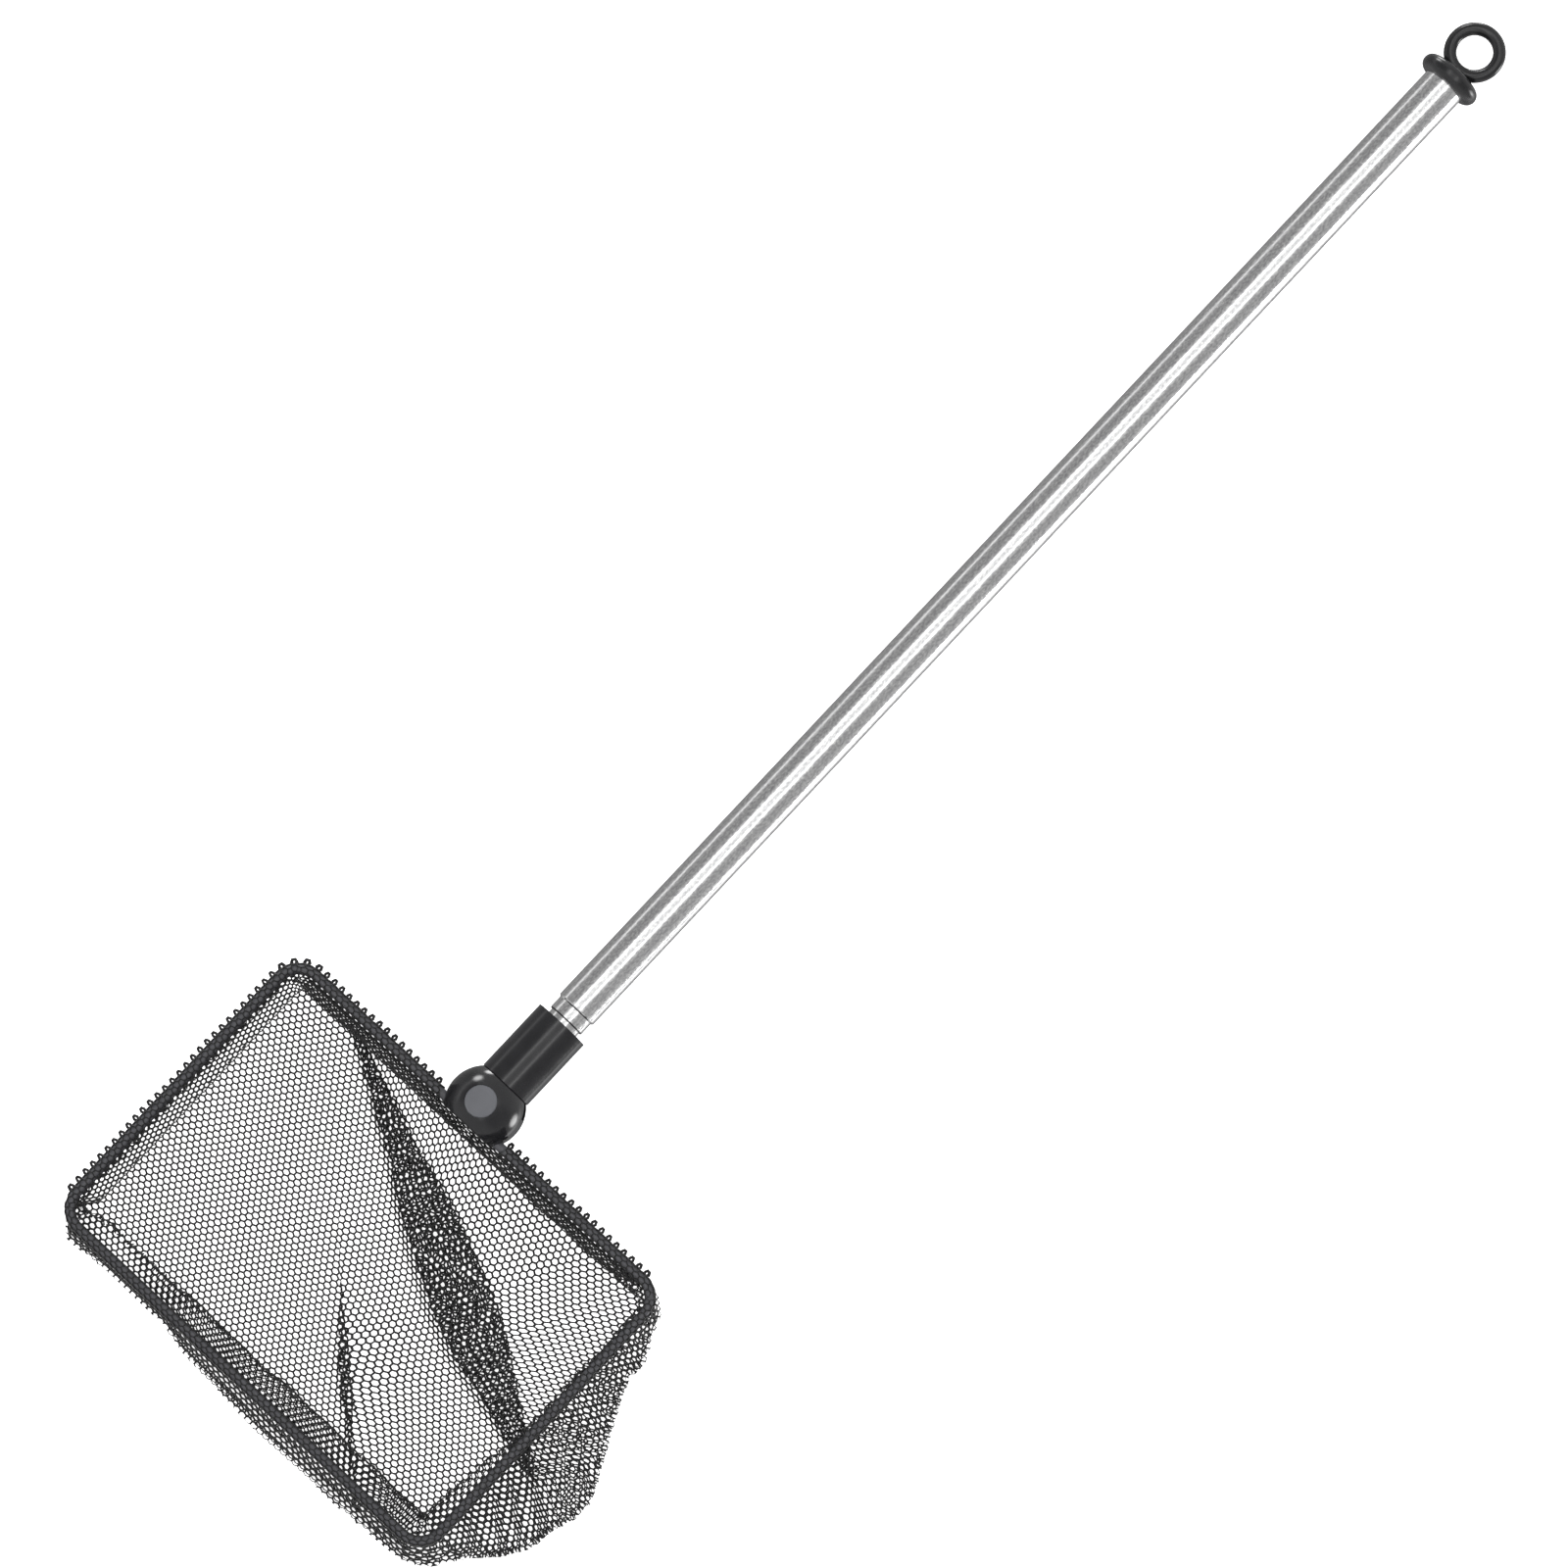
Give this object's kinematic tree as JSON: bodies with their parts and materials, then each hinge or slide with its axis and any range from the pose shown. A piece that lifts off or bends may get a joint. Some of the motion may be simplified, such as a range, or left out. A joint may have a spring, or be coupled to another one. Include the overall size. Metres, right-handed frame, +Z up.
{
  "type": "leaf skimmer net",
  "caption": "Hand skimmer with a rectangular wire hoop and fine mesh bag, a tilting ball joint, and a telescoping steel pole that ends in a hanging ring.",
  "frame": {"origin": "centre of the footprint, on the surface the net lies on", "axes": "+X along the pole towards the hanging ring, +Z up out of the mouth of the net, Y along the long sides of the hoop"},
  "size_m": [0.658, 0.2102, 0.0265],
  "materials": {
    "steel": "drawn stainless tube, lightly brushed along its length",
    "spring_steel": "spring steel, oiled",
    "zinc_steel": "bright zinc plated",
    "brass": "turned brass",
    "black_nylon": "moulded nylon",
    "black_plastic": "moulded, smooth and glossy",
    "white_nylon": "natural nylon",
    "grey_plastic": "moulded, flat satin grey",
    "painted_wire": "black plastic-coated steel wire",
    "netting": "knitted polyester hexagonal netting",
    "thread": "polyester sewing thread"
  },
  "bodies": {
    "handle": {"outer_tube": "steel", "outer_mouth_bush": "black_nylon", "end_cap": "black_plastic"},
    "mid_ring": {"mid_friction_ring": "spring_steel"},
    "mid_section": {"mid_tube": "steel", "mid_mouth_bush": "black_nylon", "mid_tail_collar": "brass"},
    "inner_ring": {"inner_friction_ring": "spring_steel"},
    "inner_section": {"inner_tube": "steel", "inner_tail_collar": "brass", "pole_socket": "black_plastic", "socket_pin": "zinc_steel"},
    "net_head": {"ball_front_shell": "black_plastic", "ball_rear_shell": "black_plastic", "shell_dowels": "zinc_steel", "pivot_screw": "zinc_steel", "pivot_nut": "zinc_steel", "spring_washer": "spring_steel", "friction_washers": "white_nylon", "front_cap": "grey_plastic", "rear_cap": "grey_plastic", "frame_wire": "painted_wire", "hem_sleeve": "netting", "hem_stitches": "thread", "net_bag": "netting", "bag_seam": "thread"}
  },
  "joints": [
    {"name": "mid_slide", "type": "slide", "parent": "handle", "child": "mid_ring", "axis": [-1, 0, 0], "range_m": [0, 0.41]},
    {"name": "mid_swivel", "type": "hinge", "parent": "mid_ring", "child": "mid_section", "pos_m": [0.27553, 0.01754, 0.01327], "axis": [1, 0, 0], "continuous": true},
    {"name": "inner_slide", "type": "slide", "parent": "mid_section", "child": "inner_ring", "axis": [-1, 0, 0], "range_m": [0, 0.415]},
    {"name": "inner_swivel", "type": "hinge", "parent": "inner_ring", "child": "inner_section", "pos_m": [0.27253, 0.01754, 0.01327], "axis": [1, 0, 0], "continuous": true},
    {"name": "head_tilt", "type": "hinge", "parent": "inner_section", "child": "net_head", "pos_m": [-0.19307, 0.01754, 0.01327], "axis": [0, 0, 1], "range_deg": [-45, 45]}
  ]
}
